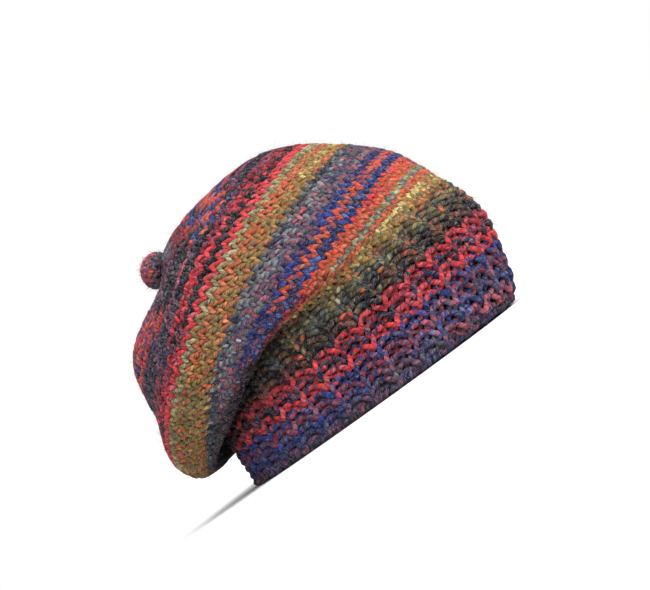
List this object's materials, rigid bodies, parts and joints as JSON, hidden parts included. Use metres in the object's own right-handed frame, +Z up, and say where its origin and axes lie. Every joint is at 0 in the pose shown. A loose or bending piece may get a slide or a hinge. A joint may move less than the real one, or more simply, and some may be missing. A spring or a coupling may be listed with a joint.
{
  "type": "knitted beret",
  "caption": "Slouchy knitted beret: ribbed band, full crown that folds over the band at the back, and a small round knob on top.",
  "frame": {"origin": "middle of the whole hat's footprint, on the plane the hem rests on", "axes": "+Z up from the hem to the crown, the front of the band toward -Y, the wearer's right toward -X"},
  "size_m": [0.215, 0.2604, 0.1756],
  "materials": {
    "band_wool": "self-striping marled wool in ribbing, red, blue, olive and charcoal",
    "crown_wool": "self-striping marled wool in plain knit, red, orange, gold, grey, blue and charcoal",
    "knob_wool": "marled wool, mauve with orange-red flecks"
  },
  "bodies": {
    "root": {"ribbed_band": "band_wool", "crown": "crown_wool", "top_knob": "knob_wool"}
  },
  "joints": []
}
